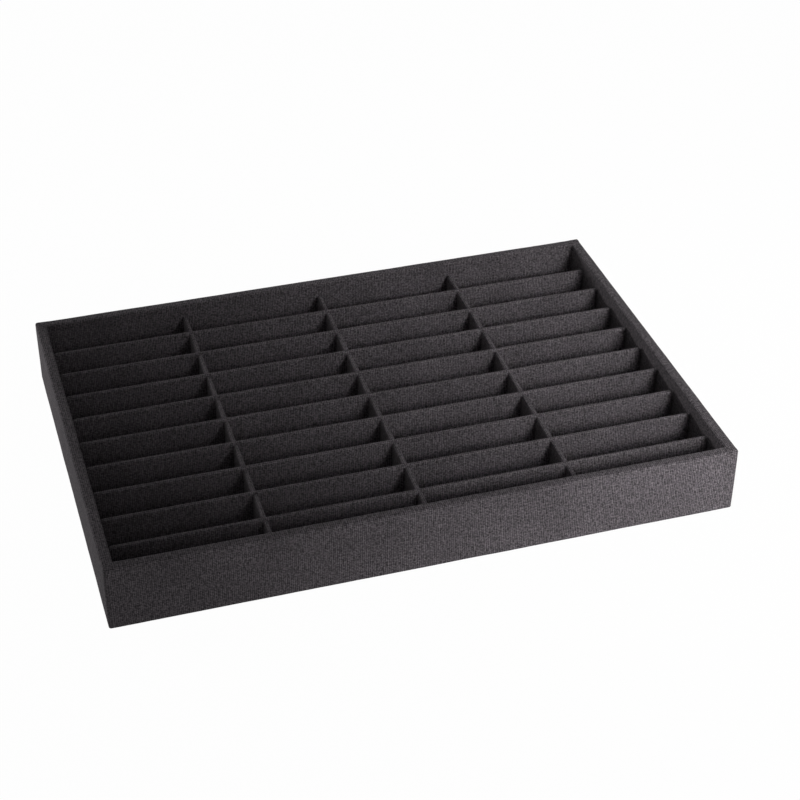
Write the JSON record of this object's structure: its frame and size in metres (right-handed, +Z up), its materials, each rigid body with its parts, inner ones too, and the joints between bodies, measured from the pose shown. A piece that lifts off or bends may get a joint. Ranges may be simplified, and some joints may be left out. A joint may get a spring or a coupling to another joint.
{
  "type": "jewelry tray",
  "caption": "Shallow rectangular linen-covered tray with a lift-out lattice of crossed dividers, whose slots hold bangles and bracelets on edge.",
  "frame": {"origin": "under the middle of the tray, on the surface that it stands on", "axes": "+X along the long side to the right, +Y to the rear, +Z up"},
  "size_m": [0.35, 0.24, 0.04],
  "materials": {
    "linen": "matte",
    "felt": "matte",
    "fibreboard": "matte",
    "greyboard": "matte"
  },
  "bodies": {
    "tray": {"front_wall_board": "fibreboard", "rear_wall_board": "fibreboard", "left_wall_board": "fibreboard", "right_wall_board": "fibreboard", "base_board": "fibreboard", "linen_wrap": "linen", "felt_pad": "felt", "floor_card": "greyboard", "floor_linen": "linen"},
    "divider_lattice": {"long_divider_card_1": "greyboard", "long_divider_card_2": "greyboard", "long_divider_card_3": "greyboard", "long_divider_card_4": "greyboard", "long_divider_card_5": "greyboard", "long_divider_card_6": "greyboard", "long_divider_card_7": "greyboard", "long_divider_card_8": "greyboard", "long_divider_card_9": "greyboard", "cross_divider_card_1": "greyboard", "cross_divider_card_2": "greyboard", "cross_divider_card_3": "greyboard", "long_divider_linen_1": "linen", "long_divider_linen_2": "linen", "long_divider_linen_3": "linen", "long_divider_linen_4": "linen", "long_divider_linen_5": "linen", "long_divider_linen_6": "linen", "long_divider_linen_7": "linen", "long_divider_linen_8": "linen", "long_divider_linen_9": "linen", "cross_divider_linen_1": "linen", "cross_divider_linen_2": "linen", "cross_divider_linen_3": "linen"}
  },
  "joints": [
    {"name": "lattice_lift", "type": "slide", "parent": "tray", "child": "divider_lattice", "axis": [0, 0, 1], "range_m": [0, 0.06]}
  ]
}
